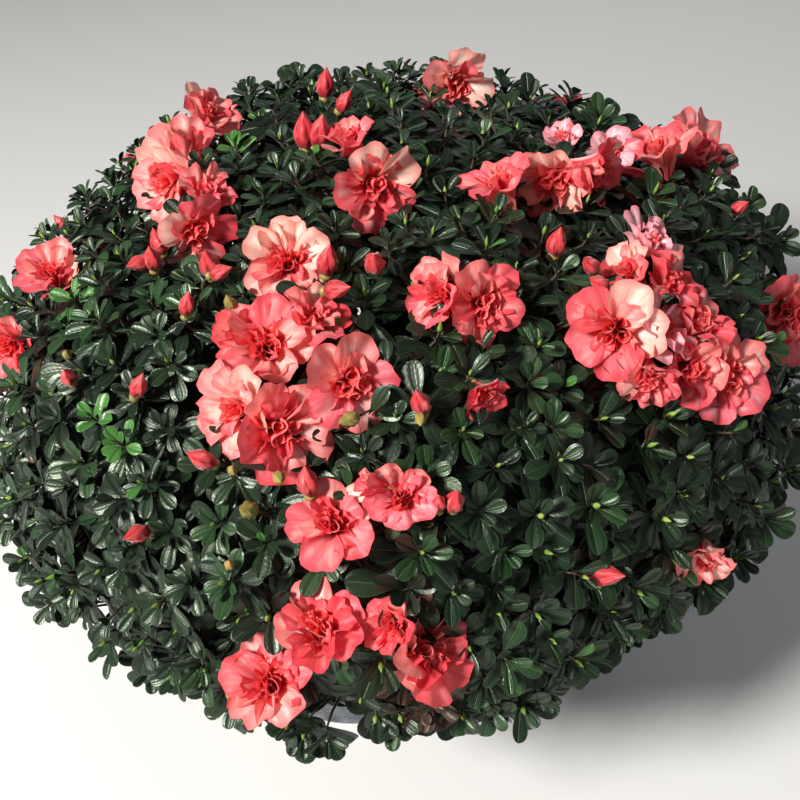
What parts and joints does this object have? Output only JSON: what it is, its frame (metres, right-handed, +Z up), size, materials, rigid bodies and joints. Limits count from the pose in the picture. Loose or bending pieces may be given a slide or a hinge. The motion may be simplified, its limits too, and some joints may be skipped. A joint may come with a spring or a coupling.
{
  "type": "potted azalea shrub",
  "caption": "Evergreen azalea in a round nursery pot: a low, wide mound of small dark leaves with double pink blooms.",
  "frame": {"origin": "centre of the pot's flat underside, on the floor", "axes": "+Z up, -Y towards the side that faces the viewer, +X to the viewer's right"},
  "size_m": [0.7393, 0.7122, 0.6087],
  "materials": {
    "pot_plastic": "matte",
    "potting_mix": "matte",
    "bark": "matte",
    "foliage": "satin"
  },
  "bodies": {
    "root": {"pot": "pot_plastic", "soil": "potting_mix", "main_stem": "bark", "bough_top": "bark", "bough_left_shoulder": "bark", "bough_front_shoulder": "bark", "bough_right_shoulder": "bark", "bough_back_shoulder": "bark", "bough_front_right": "bark", "bough_right": "bark", "bough_back_right": "bark", "bough_back": "bark", "bough_back_left": "bark", "bough_left": "bark", "bough_front_left": "bark", "bough_front": "bark", "foliage_top": "foliage", "foliage_left_shoulder": "foliage", "foliage_front_shoulder": "foliage", "foliage_right_shoulder": "foliage", "foliage_back_shoulder": "foliage", "foliage_front_right": "foliage", "foliage_right": "foliage", "foliage_back_right": "foliage", "foliage_back": "foliage", "foliage_back_left": "foliage", "foliage_left": "foliage", "foliage_front_left": "foliage", "foliage_front": "foliage"}
  },
  "joints": []
}
